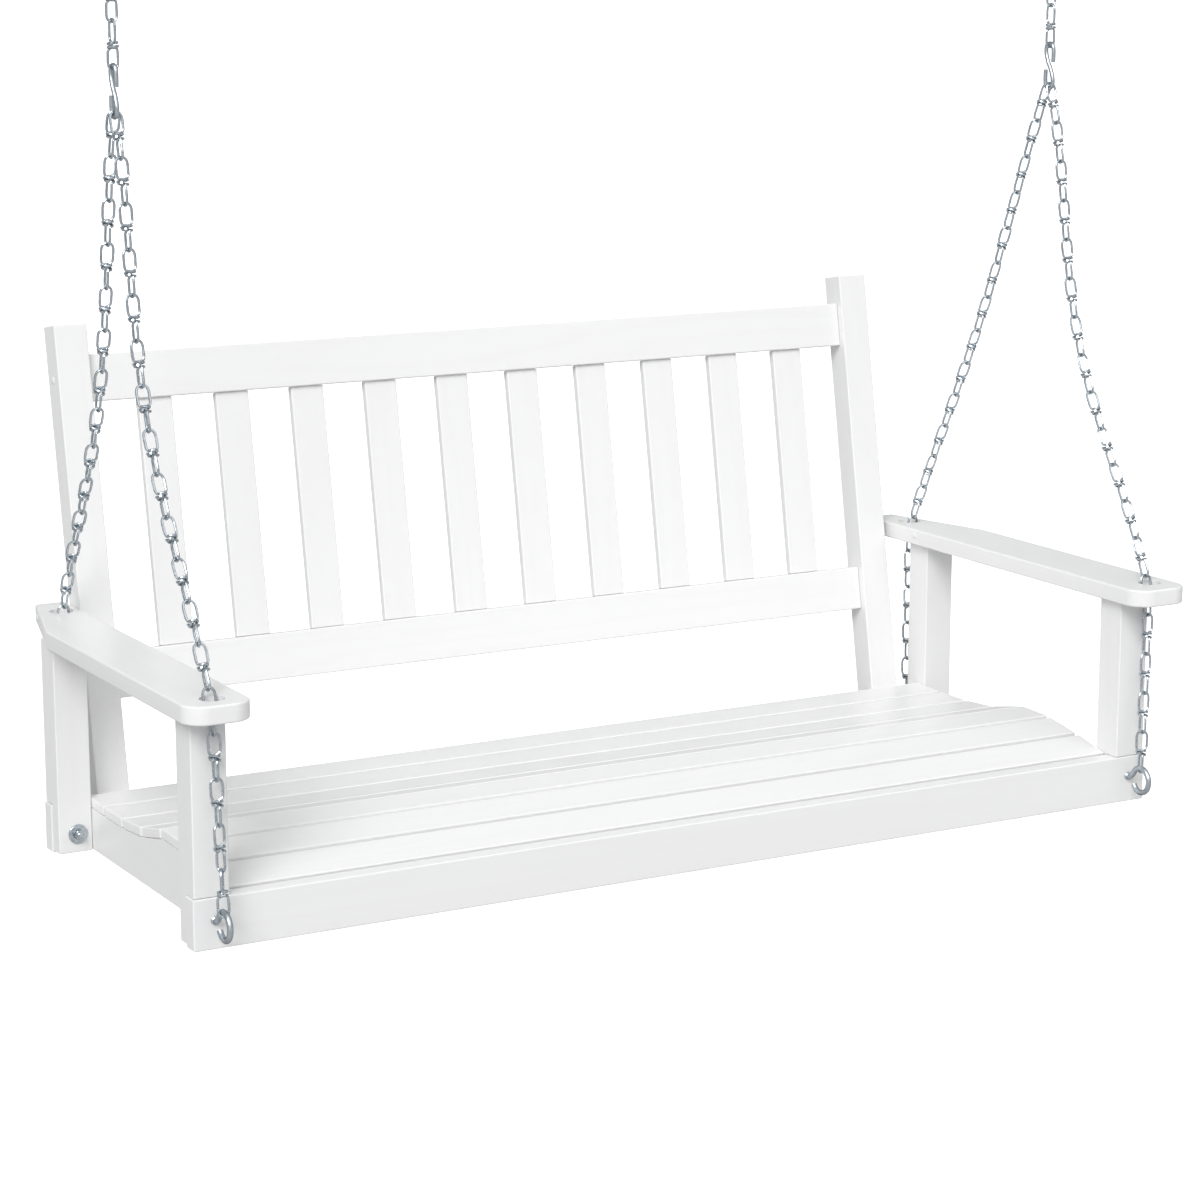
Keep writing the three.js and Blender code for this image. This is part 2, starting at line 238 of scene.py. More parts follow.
def mottle_group():
    """Slow cloudy variation between two values."""
    group, start, finish = new_group(
        "Surface Mottle",
        [
            ("Vector", "NodeSocketVector", None),
            ("Scale", "NodeSocketFloat", 20.0),
            ("Low", "NodeSocketFloat", 0.0),
            ("High", "NodeSocketFloat", 1.0),
        ],
        [("Value", "NodeSocketFloat")],
    )
    noise = add_node(
        group,
        "ShaderNodeTexNoise",
        [("Vector", start.outputs["Vector"]), ("Scale", start.outputs["Scale"]), ("Detail", 4.0)],
    )
    spread = add_node(
        group,
        "ShaderNodeMapRange",
        [
            ("Value", noise.outputs["Fac"]),
            ("From Min", 0.3),
            ("From Max", 0.7),
            ("To Min", start.outputs["Low"]),
            ("To Max", start.outputs["High"]),
        ],
    )
    group.links.new(spread.outputs[0], finish.inputs["Value"])
    return group


def grain_group():
    """Grain that shows through paint: raised growth lines, and fine pores along the board."""
    group, start, finish = new_group(
        "Board Grain",
        [
            ("Vector", "NodeSocketVector", None),
            ("Line Pitch", "NodeSocketFloat", 9.0),
            ("Pores", "NodeSocketFloat", 0.4),
        ],
        [("Height", "NodeSocketFloat"), ("Streak", "NodeSocketFloat")],
    )
    figure_place = add_node(
        group,
        "ShaderNodeMapping",
        [("Vector", start.outputs["Vector"]), ("Scale", (1.1, 17.0, 17.0))],
    )
    figure = add_node(
        group,
        "ShaderNodeTexNoise",
        [("Vector", figure_place.outputs[0]), ("Scale", 1.0), ("Detail", 2.0), ("Roughness", 0.4)],
    )
    turns = math_node(group, "MULTIPLY", figure.outputs["Fac"], start.outputs["Line Pitch"])
    wave = math_node(group, "SINE", math_node(group, "MULTIPLY", turns, math.tau))
    lines = math_node(group, "POWER", math_node(group, "MULTIPLY_ADD", wave, 0.5, 0.5), 2.0)
    pore_place = add_node(
        group,
        "ShaderNodeMapping",
        [("Vector", start.outputs["Vector"]), ("Scale", (14.0, 620.0, 620.0))],
    )
    pore = add_node(
        group,
        "ShaderNodeTexNoise",
        [("Vector", pore_place.outputs[0]), ("Scale", 1.0), ("Detail", 3.0), ("Roughness", 0.6)],
    )
    fine = math_node(group, "MULTIPLY", pore.outputs["Fac"], start.outputs["Pores"])
    group.links.new(math_node(group, "ADD", lines, fine), finish.inputs["Height"])
    dark = math_node(group, "MULTIPLY", lines, pore.outputs["Fac"])
    group.links.new(dark, finish.inputs["Streak"])
    return group


def shared_group(name, build):
    """The shader group of that name, built the first time it is asked for."""
    return bpy.data.node_groups.get(name) or build()


def use_group(tree, group, links):
    """A placed group node with its inputs joined."""
    node = tree.nodes.new("ShaderNodeGroup")
    node.node_tree = group
    join_inputs(tree, node, links)
    return node


def new_material(name, metallic=0.0, **sockets):
    """A material with its Principled shader, whose fixed values are set on its own sockets."""
    material = bpy.data.materials.new(name)
    material.use_nodes = True
    shader = material.node_tree.nodes["Principled BSDF"]
    shader.inputs["Metallic"].default_value = metallic
    for label, value in sockets.items():
        shader.inputs[label.replace("_", " ")].default_value = value
    return material, material.node_tree, shader


def blend_colours(tree, factor, first, second):
    """A colour between two colours or colour sockets, by a factor socket."""
    mix = tree.nodes.new("ShaderNodeMix")
    mix.data_type = "RGBA"
    tree.links.new(factor, mix.inputs["Factor"])
    for label, colour in (("A", first), ("B", second)):
        if isinstance(colour, bpy.types.NodeSocket):
            tree.links.new(colour, mix.inputs[label])
        else:
            mix.inputs[label].default_value = (*colour, 1.0)
    return mix.outputs["Result"]


def raise_surface(tree, shader, height, strength, distance):
    """A bump from a height socket."""
    bump = add_node(
        tree,
        "ShaderNodeBump",
        [("Height", height), ("Strength", strength), ("Distance", distance)],
    )
    tree.links.new(bump.outputs["Normal"], shader.inputs["Normal"])


def painted_wood(settings):
    """White satin paint over planed wood, with the grain running along each board."""
    found = bpy.data.materials.get("painted_wood")
    if found:
        return found
    material, tree, shader = new_material("painted_wood")
    grain = add_node(tree, "ShaderNodeAttribute", attribute_name="grain")
    wood = use_group(
        tree,
        shared_group("Board Grain", grain_group),
        [("Vector", grain.outputs["Vector"]), ("Line Pitch", 7.0), ("Pores", 0.55)],
    )
    mottle = shared_group("Surface Mottle", mottle_group)
    brushed = use_group(
        tree,
        mottle,
        [
            ("Vector", grain.outputs["Vector"]),
            ("Scale", 22.0),
            ("Low", settings.paint_roughness - 0.05),
            ("High", settings.paint_roughness + 0.07),
        ],
    )
    shade = math_node(tree, "MULTIPLY", wood.outputs["Streak"], 0.10)
    paint = tuple(settings.paint)
    shaded = tuple(c * k for c, k in zip(paint, (0.80, 0.79, 0.765)))
    tree.links.new(blend_colours(tree, shade, paint, shaded), shader.inputs["Base Color"])
    tree.links.new(brushed.outputs["Value"], shader.inputs["Roughness"])
    raise_surface(tree, shader, wood.outputs["Height"], 0.16, 0.25 * MM)
    return material


def moulded_cap(settings):
    """White plastic of the screw caps, a little glossier than the paint."""
    material, tree, shader = new_material("moulded_cap")
    place = add_node(tree, "ShaderNodeTexCoord")
    mottle = use_group(
        tree,
        shared_group("Surface Mottle", mottle_group),
        [("Vector", place.outputs["Object"]), ("Scale", 400.0), ("Low", 0.22), ("High", 0.36)],
    )
    paint = tuple(settings.paint)
    tint = tuple(c * 0.93 for c in paint)
    tree.links.new(blend_colours(tree, mottle.outputs["Value"], paint, tint), shader.inputs["Base Color"])
    tree.links.new(mottle.outputs["Value"], shader.inputs["Roughness"])
    return material


def zinc_plate(settings, name="zinc_plate", scale=260.0, rough=0.0):
    """Bright zinc plating: cloudy, slightly blue and finely uneven, with painted shade that darkens the
    colour towards a wire's rim as its surface turns away from the view.
    """
    found = bpy.data.materials.get(name)
    if found:
        return found
    material, tree, shader = new_material(name, metallic=1.0)
    place = add_node(tree, "ShaderNodeTexCoord")
    mottle = shared_group("Surface Mottle", mottle_group)
    middle = settings.zinc_roughness + rough
    cloud = use_group(
        tree,
        mottle,
        [("Vector", place.outputs["Object"]), ("Scale", scale), ("Low", 0.0), ("High", 1.0)],
    )
    polish = use_group(
        tree,
        mottle,
        [
            ("Vector", place.outputs["Object"]),
            ("Scale", scale * 2.3),
            ("Low", middle - 0.08),
            ("High", middle + 0.1),
        ],
    )
    zinc = tuple(settings.zinc)
    light = tuple(min(1.0, c * 1.28) for c in zinc)
    plating = blend_colours(tree, cloud.outputs["Value"], zinc, light)
    # Painted shade: the base colour darkens towards each wire's rim, by how far the surface turns away from
    # the view.
    rim = add_node(tree, "ShaderNodeLayerWeight", [("Blend", 0.5)])
    painted_rim_shade = math_node(tree, "POWER", rim.outputs["Facing"], 2.0)
    shade = tuple(c * 0.13 for c in zinc)
    tree.links.new(blend_colours(tree, painted_rim_shade, plating, shade), shader.inputs["Base Color"])
    tree.links.new(polish.outputs["Value"], shader.inputs["Roughness"])
    raise_surface(tree, shader, polish.outputs["Value"], 0.12, 0.12 * MM)
    return material


def hook_zinc(settings):
    """The rougher, more slowly clouded plating of the hooks."""
    return zinc_plate(settings, "zinc_hooks", 150.0, 0.07)


# ---------------------------------------------------------------- mesh tools


def finished_piece(bm, name, body, material, replaces=()):
    """Puts a finished bmesh on its body, with its material and the solids it stands for."""
    mesh = bpy.data.meshes.new(name)
    bm.to_mesh(mesh)
    bm.free()
    mesh.materials.append(material)
    mesh.shade_smooth()
    mesh.set_sharp_from_angle(angle=CREASE)
    piece = bpy.data.objects.new(name, mesh)
    bpy.context.scene.collection.objects.link(piece)
    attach(piece, body)
    if replaces:
        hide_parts(*replaces)
    return piece


def close_shells(bm):
    """Merges doubled points and turns every shell's faces outwards."""
    bmesh.ops.remove_doubles(bm, verts=bm.verts, dist=TOUCH)
    bmesh.ops.recalc_face_normals(bm, faces=bm.faces)


def join_shell(bm, shell):
    """Adds a finished shell to a piece."""
    close_shells(shell)
    mesh = bpy.data.meshes.new("shell")
    shell.to_mesh(mesh)
    shell.free()
    bm.from_mesh(mesh)
    bpy.data.meshes.remove(mesh)


def bent_wire(points, radius, cyclic=False, steps=4, fineness=2):
    """A mesh of round wire bent smoothly through points."""
    curve = bpy.data.curves.new("wire", "CURVE")
    curve.dimensions = "3D"
    curve.bevel_depth = radius
    curve.bevel_resolution = fineness
    curve.resolution_u = steps
    curve.use_fill_caps = not cyclic
    spline = curve.splines.new("BEZIER")
    spline.bezier_points.add(len(points) - 1)
    for knot, point in zip(spline.bezier_points, points):
        knot.co = point
        knot.handle_left_type = knot.handle_right_type = "AUTO"
    spline.use_cyclic_u = cyclic
    holder = bpy.data.objects.new("wire", curve)
    bpy.context.scene.collection.objects.link(holder)
    bpy.context.view_layer.update()
    mesh = bpy.data.meshes.new_from_object(holder)
    bpy.data.objects.remove(holder)
    bpy.data.curves.remove(curve)
    return mesh


def add_wire(bm, points, radius, **options):
    """Adds one bent wire to a piece as a closed shell."""
    mesh = bent_wire(points, radius, **options)
    shell = bmesh.new()
    shell.from_mesh(mesh)
    bpy.data.meshes.remove(mesh)
    join_shell(bm, shell)


def add_turned(bm, profile, centre, axis, steps=24, ring=False):
    """Adds a shape turned round an axis from (radius, height) steps; a ring's profile closes on itself."""
    axis = axis.normalized()
    side = axis.orthogonal().normalized()
    shell = bmesh.new()
    verts = [shell.verts.new(centre + side * r + axis * h) for r, h in profile]
    edges = [shell.edges.new(pair) for pair in zip(verts, verts[1:])]
    if ring:
        edges.append(shell.edges.new((verts[-1], verts[0])))
    bmesh.ops.spin(
        shell,
        geom=verts + edges,
        cent=centre,
        axis=axis,
        angle=math.tau,
        steps=steps,
        use_merge=True,
    )
    join_shell(bm, shell)


def arc(centre, radius, first, last, count):
    """Points on an arc in a plane across the bench, its angle in degrees from the front towards the top."""
    turns = [math.radians(first + (last - first) * i / (count - 1)) for i in range(count)]
    return [centre + Vector((0, -math.cos(t), math.sin(t))) * radius for t in turns]


# ---------------------------------------------------------------- boards


def grain_direction(node):
    """Which way a board's grain runs."""
    if node.startswith(("back_slat", "back_post")):
        return LEAN
    if "arm_post" in node:
        return UP
    if node.startswith(("arm_", "side_rail", "centre_seat")):
        return ALONG
    return ACROSS


def is_bore_wall(face):
    """Whether a face belongs to the wall of a round hole."""
    return any(
        math.radians(-40) < edge.calc_face_angle_signed(0.0) < math.radians(-5) for edge in face.edges
    )


def corner_edges(bm):
    """Every outward corner of a board, and whether it is the rim of a hole."""
    corners = [e for e in bm.edges if e.is_manifold and e.calc_face_angle_signed(0.0) > ROUNDED]
    rims = [e for e in corners if any(is_bore_wall(f) for f in e.link_faces)]
    return [e for e in corners if e not in set(rims)], rims


def round_edges(bm, edges, offset, segments):
    """Rounds edges over by an offset."""
    bmesh.ops.bevel(
        bm,
        geom=edges,
        offset=offset,
        offset_type="OFFSET",
        affect="EDGES",
        segments=segments,
        profile=0.5,
        material=-1,
        clamp_overlap=True,
    )


def write_grain(mesh, direction, dice):
    """Stores where each point lies along and across its board, with a start of its own in the tree."""
    across = direction.cross(ACROSS if abs(direction.x) < 0.5 else UP).normalized()
    deep = direction.cross(across)
    start = Vector((dice.uniform(0, 40), dice.uniform(0, 4), dice.uniform(0, 4)))
    places = mesh.attributes.new("grain", "FLOAT_VECTOR", "POINT")
    for item, vertex in zip(places.data, mesh.vertices):
        p = vertex.co
        item.vector = Vector((p.dot(direction), p.dot(across), p.dot(deep))) + start


def make_board(node, settings, dice):
    """One board with eased edges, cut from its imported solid."""
    bm = bmesh.new()
    bm.from_mesh(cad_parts[node].data)
    bmesh.ops.remove_doubles(bm, verts=bm.verts, dist=WELD)
    bmesh.ops.dissolve_limit(bm, angle_limit=FLAT, verts=bm.verts, edges=bm.edges)
    rims = corner_edges(bm)[1]
    if rims:
        round_edges(bm, rims, settings.bore_edge, 2)
    is_arm = node.startswith("arm_")
    round_edges(bm, corner_edges(bm)[0], settings.arm_edge if is_arm else settings.edge, 3)
    board = finished_piece(bm, f"{node}_board", "bench", painted_wood(settings), [node])
    write_grain(board.data, grain_direction(node), dice)
    shading = board.modifiers.new("Even Shading", "WEIGHTED_NORMAL")
    shading.keep_sharp = True


def wooden_nodes():
    """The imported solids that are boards, in a fixed order."""
    steel = ("chain", "hook", "washer", "nut", "plate", "link")
    return [n for n in sorted(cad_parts) if not any(word in n for word in steel)]


class PORCH_OT_boards(bpy.types.Operator):
    """Ease the edges of every board and paint it"""

    bl_idname = "porch.boards"
    bl_label = "Boards"

    def execute(self, context):
        dice = random.Random(12)
        for node in wooden_nodes():
            make_board(node, context.scene.porch_boards, dice)
        return {"FINISHED"}


# ---------------------------------------------------------------- screw caps

CAP_RISE = 1.3 * MM
BACK_CAP_HEIGHTS = (187.0, 523.0)
BACK_CAP_DEPTH = 18.5
BACK_FOOT = 415.7
BACK_POST_SIDE = 541.7
ARM_INNER = {"left": 542.3, "right": 550.0}
ARM_TAPER = {"left": 583.4, "right": 594.4}
ARM_INNER_CAP = (406.0, 254.0)
ARM_TAPER_CAP = (486.0, 253.0)
TAPER_FACING = (0.966, 0.258)


def add_cap(bm, centre, outwards, settings):
    """A low domed cap pressed over a screw."""
    radius = settings.cap_diameter / 2
    profile = [(0.0, -0.4 * MM), (radius, -0.4 * MM), (radius, 0.35 * CAP_RISE)]
    profile += [(radius * math.cos(t), CAP_RISE * (0.35 + 0.65 * math.sin(t))) for t in (0.4, 0.8, 1.2)]
    profile.append((0.0, CAP_RISE))
    add_turned(bm, profile, centre, outwards, steps=28)


def cap_places(side, sign):
    """Where the caps of one side sit, and which way each faces."""
    places = []
    for height in BACK_CAP_HEIGHTS:
        y = BACK_FOOT + height * LEAN.y + BACK_CAP_DEPTH * LEAN.z
        z = height * LEAN.z - BACK_CAP_DEPTH * LEAN.y
        places.append((at(sign * BACK_POST_SIDE, y, z), Vector((sign, 0, 0))))
    places.append((at(sign * ARM_INNER[side], *ARM_INNER_CAP), Vector((-sign, 0, 0))))
    aside, backwards = TAPER_FACING
    places.append((at(sign * ARM_TAPER[side], *ARM_TAPER_CAP), Vector((sign * aside, backwards, 0))))
    return places


class PORCH_OT_caps(bpy.types.Operator):
    """Press a cap over each screw at the back posts and arms"""

    bl_idname = "porch.caps"
    bl_label = "Screw Caps"

    def execute(self, context):
        settings = context.scene.porch_boards
        material = moulded_cap(settings)
        for side, sign in SIDES:
            bm = bmesh.new()
            for centre, outwards in cap_places(side, sign):
                add_cap(bm, centre, outwards, settings)
            finished_piece(bm, f"screw_caps_{side}", "bench", material)
        return {"FINISHED"}


# ---------------------------------------------------------------- hook bolts

HOOK_X = 578.0
HOOK_HEIGHTS = {"front": 31.0, "rear": 23.5}
RING_RADIUS = 14.5
RING_REACH = 25.0
BOLT_END = 51.0
THREAD_START = 40.0
THREAD_PITCH = 1.0
SHANK = (-4.0, 12.0)
SHANK_RADIUS = 4.3
POST_FACE = 39.3
WASHER = (11.0, 3.3, 1.6)
NUT_ACROSS = 10.0
NUT_THICKNESS = 5.0
NUT_BORE = 2.75
NUT_CHAMFER = 0.55
NUT_STEPS = 48


def hook_points(end, x):
    """The line of a hook bolt from its threaded end, through the rail and round its open ring."""
    forward = -1 if end == "front" else 1
    straight = [(BOLT_END - 6.0, 0.0), (20.0, 0.0), (2.0, 0.0), (-4.0, 0.0), (-9.0, 3.0)]
    points = [at(x, end_y(end, y), HOOK_HEIGHTS[end] + rise) for y, rise in straight]
    centre = at(x, end_y(end, -RING_REACH), HOOK_HEIGHTS[end])
    ring = arc(Vector(), RING_RADIUS * MM, 138, -148, 15)
    return points + [centre + Vector((0, -forward * p.y, p.z)) for p in ring]


def add_thread(bm, end, x, run, radius):
    """A cut thread along part of the bolt, run giving where it starts and ends."""
    first, last = run
    inwards = ALONG if end == "front" else -ALONG
    base = at(x, end_y(end, first), HOOK_HEIGHTS[end])
    root = radius * 0.86
    profile = [(0.0, 0.0), (root, 0.0)]
    for turn in range(int((last - first) / THREAD_PITCH) - 1):
        rise = (turn + 0.5) * THREAD_PITCH * MM
        profile += [(radius, rise), (root, rise + THREAD_PITCH * MM / 2)]
    tip = (last - first) * MM
    profile += [(radius * 0.8, tip), (0.0, tip)]
    add_turned(bm, profile, base, inwards, steps=20)


class PORCH_OT_hook_bolts(bpy.types.Operator):
    """Bend the four hook bolts and cut their threads"""

    bl_idname = "porch.hook_bolts"
    bl_label = "Hook Bolts"

    def execute(self, context):
        settings = context.scene.porch_chains
        material = hook_zinc(settings)
        radius = settings.hook_wire / 2
        for side, sign in SIDES:
            for end in ENDS:
                bm = bmesh.new()
                add_wire(bm, hook_points(end, sign * HOOK_X), radius, steps=5, fineness=6)
                add_thread(bm, end, sign * HOOK_X, (THREAD_START, BOLT_END), radius)
                add_thread(bm, end, sign * HOOK_X, SHANK, SHANK_RADIUS * MM)
                node = f"{end}_hook_bolt_{side}"
                finished_piece(bm, f"{node}_bent", "bench", material, [node])
        return {"FINISHED"}


def add_nut(bm, centre, axis):
    """A six-sided nut with chamfered corners, from rings bridged one to the next."""
    corner = NUT_ACROSS / math.sqrt(3)

    def six_sided(turn):
        return corner * math.cos(math.pi / 6) / math.cos((turn % (math.pi / 3)) - math.pi / 6)

    def round_to(radius):
        return lambda turn: radius

    flat = NUT_ACROSS / 2 * 0.97
    high = NUT_THICKNESS
    rings = [
        (round_to(NUT_BORE), 0.0),
        (round_to(flat), 0.0),
        (six_sided, NUT_CHAMFER),
        (six_sided, high - NUT_CHAMFER),
        (round_to(flat), high),
        (round_to(NUT_BORE), high),
    ]
    shell = bmesh.new()
    turning = axis.to_track_quat("Z", "Y").to_matrix()
    loops = []
    for reach, height in rings:
        made = bmesh.ops.create_circle(shell, segments=NUT_STEPS, radius=1.0)["verts"]
        for vertex in made:
            turn = math.atan2(vertex.co.y, vertex.co.x) % math.tau
            flat_place = Vector((math.cos(turn), math.sin(turn), 0)) * reach(turn) * MM
            vertex.co = centre + turning @ (flat_place + UP * height * MM)
        loops.append(list({e for v in made for e in v.link_edges}))
    for first, second in zip(loops, loops[1:] + loops[:1]):
        bmesh.ops.bridge_loops(shell, edges=first + second)
    join_shell(bm, shell)


class PORCH_OT_washers_and_nuts(bpy.types.Operator):
    """Put a washer and a nut on each hook bolt"""

    bl_idname = "porch.washers_and_nuts"
    bl_label = "Washers and Nuts"

    def execute(self, context):
        material = zinc_plate(context.scene.porch_chains)
        outer, bore, thick = (v * MM for v in WASHER)
        ease = 0.25 * MM
        profile = [
            (bore, 0.0),
            (outer - ease, 0.0),
            (outer, ease),
            (outer, thick - ease),
            (outer - ease, thick),
            (bore, thick),
        ]
        for side, sign in SIDES:
            for end in ENDS:
                inwards = ALONG if end == "front" else -ALONG
                base = at(sign * HOOK_X, end_y(end, POST_FACE), HOOK_HEIGHTS[end])
                washer = bmesh.new()
                add_turned(washer, profile, base, inwards, steps=40, ring=True)
                node = f"{end}_washer_{side}"
                finished_piece(washer, f"{node}_turned", "bench", material, [node])
                nut = bmesh.new()
                add_nut(nut, base + inwards * (thick + 0.3 * MM), inwards)
                node = f"{end}_nut_{side}"
                finished_piece(nut, f"{node}_cut", "bench", material, [node])
        return {"FINISHED"}


# ---------------------------------------------------------------- chains

LINK_TOP = 25.0
LINK_BOTTOM = 23.3
WIDE = 6.4
NARROW = 5.5
KNOT = 4.7
CHAIN_X = 584.0
CHAIN_Y = 197.0
BRANCH_LINKS = 18
UPPER_LINKS = 4
ARM_MIDDLE = 252.0
HOLES = {
    "front_left": (578.0, -6.5),
    "rear_left": (563.5, 462.0),
    "front_right": (596.0, -6.0),
    "rear_right": (578.5, 459.0),
}
LOWER_BEND = 829.5
UPPER_BEND = 867.5
S_HOOK_BEND = 7.0
S_HOOK_REACH = 14.5
S_HOOK_WAIST = 6.0
CHAIN_START = 828.4
CHAIN_BESIDE = 2.15


def knot_turn(first, last, low, high, reach):
    """Part of the wrap round a link's neck, as (radius, degrees, height) steps."""
    count = 8
    steps = []
    for i in range(count):
        share = i / (count - 1)
        turn = math.radians(first + (last - first) * share)
        steps.append(
            (reach * math.cos(turn), reach * math.sin(turn), low + (high - low) * share)
        )
    return steps


def link_points():
    """The line of one knotted link: a wide upper loop, its neck with both ends wrapped, and a lower loop."""
    tip = [(-5.4, 2.6, 0.6)]
    upper_wrap = knot_turn(130, -175, 0.9, 3.0, KNOT)
    upper = [
        (-5.9, 0, 5.4),
        (-WIDE, 0, 8.4),
        (-WIDE, 0, 12.0),
        (-WIDE, 0, 18.6),
        (-WIDE * 0.71, 0, 23.1),
        (0, 0, LINK_TOP),
        (WIDE * 0.71, 0, 23.1),
        (WIDE, 0, 18.6),
        (WIDE, 0, 12.0),
        (WIDE, 0, 8.4),
        (5.6, 0, 5.0),
        (2.6, 0.3, 3.2),
    ]
    neck = [(0.9, 0.9, 0.6), (0.3, 2.6, -3.0)]
    lower = [
        (0, 5.1, -5.2),
        (0, NARROW, -8.4),
        (0, NARROW, -12.0),
        (0, NARROW, -17.8),
        (0, NARROW * 0.71, -21.7),
        (0, 0, -LINK_BOTTOM),
        (0, -NARROW * 0.71, -21.7),
        (0, -NARROW, -17.8),
        (0, -NARROW, -12.0),
        (0, -NARROW, -8.4),
        (0, -5.2, -5.4),
    ]
    lower_wrap = knot_turn(-85, 230, -3.0, -0.9, KNOT)
    end = [(-4.2, -5.2, -0.6)]
    return [Vector(p) * MM for p in tip + upper_wrap + upper + neck + lower + lower_wrap + end]


def along_path(path, distance):
    """The point that lies a distance along a path of straight runs."""
    for start, finish in zip(path, path[1:]):
        run = (finish - start).length
        if distance <= run:
            return start.lerp(finish, distance / run)
        distance -= run
    return path[-1].copy()


def add_links(bm, path, count, twists, wire):
    """Hangs links one in the next along a path, each turned about its own length by its twist."""
    total = sum((b - a).length for a, b in zip(path, path[1:]))
    span = (total + (count - 1) * wire) / count
    mesh = bent_wire(link_points(), wire / 2, steps=2, fineness=2)
    reach = (LINK_TOP + LINK_BOTTOM) * MM
    for i in range(count):
        top = along_path(path, i * (span - wire))
        bottom = along_path(path, i * (span - wire) + span)
        rise = (top - bottom).normalized()
        side = (ACROSS - rise * ACROSS.dot(rise)).normalized()
        facing = Matrix((side, rise.cross(side), rise)).transposed().to_4x4()
        stretch = Matrix.Scale((top - bottom).length / reach, 4, UP)
        turn = Matrix.Rotation(math.radians(twists[i]), 4, "Z")
        knot = Matrix.Translation(top - rise * LINK_TOP * MM * (top - bottom).length / reach)
        shell = bmesh.new()
        shell.from_mesh(mesh)
        bmesh.ops.transform(shell, matrix=knot @ facing @ turn @ stretch, verts=shell.verts)
        join_shell(bm, shell)
    bpy.data.meshes.remove(mesh)


# How far the last two links of each branch chain are turned, in degrees.
END_TWISTS = {
    "front_left": (21, 61),
    "front_right": (-4, -17),
    "rear_left": (12, 40),
    "rear_right": (-10, -25),
}

# How far each slack branch chain sags inwards, and how soon the sag dies away towards its ends.
SAG = {"front_left": 50.0, "rear_left": 40.0, "front_right": 40.5, "rear_right": 11.0}
SAG_FADE = {"left": 1.7, "right": 2.0}
SAG_STEPS = 16


def branch_path(end, side, sign, settings):
    """From the S-hook's lower bend, sagging, through the arm's hole to the ring of the hook bolt."""
    towards = -1 if end == "front" else 1
    start = at(sign * CHAIN_X, CHAIN_Y + towards * CHAIN_BESIDE, CHAIN_START)
    hole_x, hole_y = HOLES[f"{end}_{side}"]
    hole = at(sign * hole_x, hole_y, ARM_MIDDLE)
    ring = at(sign * HOOK_X, end_y(end, -RING_REACH), HOOK_HEIGHTS[end])
    rise = hole - ring
    crown = ring + Vector((0, rise.y, rise.z)).normalized() * RING_RADIUS * MM
    below = (settings.hook_wire + settings.wire) / 2
    chord = (hole - start).normalized()
    inwards = Vector((0, towards * chord.z, -towards * chord.y))
    path = [start]
    for i in range(1, SAG_STEPS):
        share = i / SAG_STEPS
        bow = SAG[f"{end}_{side}"] * MM * math.sin(math.pi * share) ** SAG_FADE[side]
        path.append(start.lerp(hole, share) + inwards * bow)
    return path + [hole, crown + (crown - hole).normalized() * below]


class PORCH_OT_chains(bpy.types.Operator):
    """Hang the knotted links of the branch chains and the upper chains"""

    bl_idname = "porch.chains"
    bl_label = "Chains"

    def execute(self, context):
        settings = context.scene.porch_chains
        wire = settings.wire
        material = zinc_plate(settings)
        dice = random.Random(5)
        for side, sign in SIDES:
            for end in ENDS:
                twists = [dice.uniform(-7, 7) for _ in range(BRANCH_LINKS)]
                twists[-2:] = END_TWISTS[f"{end}_{side}"]
                bm = bmesh.new()
                add_links(bm, branch_path(end, side, sign, settings), BRANCH_LINKS, twists, wire)
                node = f"{end}_chain_{side}"
                finished_piece(bm, f"{node}_knotted", "bench", material, [node])
            low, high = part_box(f"upper_chain_{side}")
            middle = (low + high) / 2
            top = Vector((middle.x, middle.y, high.z - wire / 2))
            bottom = Vector((middle.x, middle.y, low.z + wire / 2))
            twists = [90 + dice.uniform(-5, 5) for _ in range(UPPER_LINKS)]
            bm = bmesh.new()
            add_links(bm, [top, bottom], UPPER_LINKS, twists, wire)
            node = f"upper_chain_{side}"
            body = f"{side}_upper_chain"
            finished_piece(bm, f"{node}_knotted", body, material, [node])
        return {"FINISHED"}


class PORCH_OT_s_hooks(bpy.types.Operator):
    """Bend the two S-hooks that join each pair of branch chains to its upper chain"""

    bl_idname = "porch.s_hooks"
    bl_label = "S-Hooks"

    def execute(self, context):
        settings = context.scene.porch_chains
        material = hook_zinc(settings)
        bend = S_HOOK_BEND
        waist = (LOWER_BEND + UPPER_BEND) / 2
        for side, sign in SIDES:
            x = sign * CHAIN_X
            points = [at(x, CHAIN_Y - bend, UPPER_BEND - S_HOOK_REACH)]
            points += arc(at(x, CHAIN_Y, UPPER_BEND), bend * MM, 0, 180, 7)
            points.append(at(x, CHAIN_Y + bend / 2, waist + S_HOOK_WAIST))
            points.append(at(x, CHAIN_Y - bend / 2, waist - S_HOOK_WAIST))
            points += arc(at(x, CHAIN_Y, LOWER_BEND), bend * MM, 0, -180, 7)
            points.append(at(x, CHAIN_Y + bend, LOWER_BEND + S_HOOK_REACH))
            bm = bmesh.new()
            add_wire(bm, points, settings.s_hook_wire / 2, steps=5, fineness=6)
            node = f"s_hook_{side}"
            finished_piece(bm, f"{node}_bent", f"{side}_s_hook", material, [node])
        return {"FINISHED"}


# ---------------------------------------------------------------- ceiling fittings

PLATE = (70.0, 50.0, 5.0)
PLATE_CORNER = 7.0
SCREW_INSET = 8.0
EYE_WIRE = 3.5
EYE_RADIUS = 14.0
EYE_DROP = 28.0
PLATE_EASE = 0.6
TOP_LINK_RADIUS = 2.5
SCREW_PROFILE = (
    (0, 0.3),
    (5.2, 0.3),
    (5.2, -0.8),
    (4.6, -2.0),
    (3.2, -2.7),
    (1.5, -2.9),
    (1.1, -1.4),
    (0, -1.2),
)


